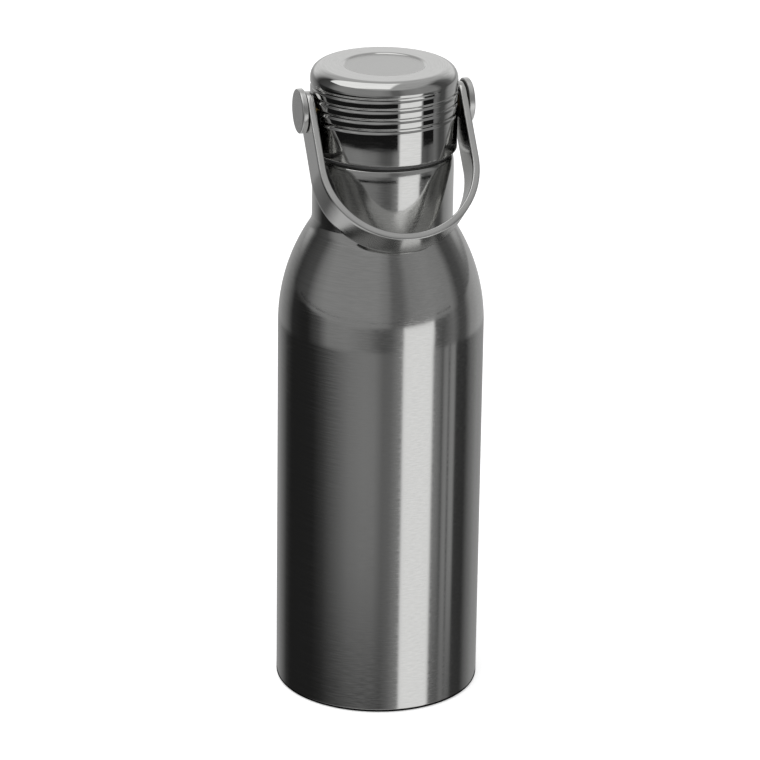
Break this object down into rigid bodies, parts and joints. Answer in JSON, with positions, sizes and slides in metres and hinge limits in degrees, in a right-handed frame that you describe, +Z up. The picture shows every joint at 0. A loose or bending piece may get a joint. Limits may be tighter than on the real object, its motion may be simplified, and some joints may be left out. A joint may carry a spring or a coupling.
{
  "type": "canteen",
  "caption": "Double-walled steel drinking bottle with a straight neck, a grooved metal screw cap and a hinged strap carrying handle.",
  "frame": {"origin": "centre of the base, on the plane of the foot ring that the bottle stands on", "axes": "+Z up along the bottle's axis; the handle pivots about X and rests towards -Y, the front"},
  "size_m": [0.07, 0.0717, 0.2213],
  "materials": {
    "steel_body": "polished steel with a fine lathe brushing round the body",
    "steel_cap": "polished steel with a fine lathe brushing, grooved",
    "steel_inner": "electropolished steel",
    "steel_strap": "satin steel strip with softened edges",
    "steel_stud": "satin steel, turned",
    "brass_insert": "plain brass",
    "getter_metal": "sintered metal",
    "solder_glass": "fused solder glass",
    "plastic_core": "black moulded polypropylene",
    "plastic_bush": "black nylon",
    "silicone": "dark silicone",
    "foam": "white expanded foam"
  },
  "bodies": {
    "bottle": {"outer_shell": "steel_body", "outer_base": "steel_body", "middle_base": "steel_inner", "vacuum_seal": "solder_glass", "getter": "getter_metal", "inner_liner": "steel_inner", "liner_bottom": "steel_inner"},
    "gasket": {"mouth_gasket": "silicone"},
    "cap": {"cap_shell": "steel_cap", "cap_core": "plastic_core", "plug_floor": "plastic_core", "cap_foam": "foam", "pivot_inserts": "brass_insert", "pivot_studs": "steel_stud", "inner_washers": "plastic_bush", "outer_washers": "plastic_bush"},
    "bail": {"bail": "steel_strap", "bail_bushes": "plastic_bush"}
  },
  "joints": [
    {"name": "cap_lift", "type": "slide", "parent": "bottle", "child": "gasket", "axis": [0, 0, 1], "range_m": [0, 0.036]},
    {"name": "cap_turn", "type": "hinge", "parent": "gasket", "child": "cap", "pos_m": [0, 0, 0.1931], "axis": [0, 0, 1], "range_deg": [0, 2160]},
    {"name": "bail_swing", "type": "hinge", "parent": "cap", "child": "bail", "pos_m": [0, 0, 0.207], "axis": [-1, 0, 0], "range_deg": [0, 282]}
  ],
  "couplings": [
    {"joint": "cap_lift", "follows": "cap_turn", "m_per_rad": 0.00095493}
  ]
}
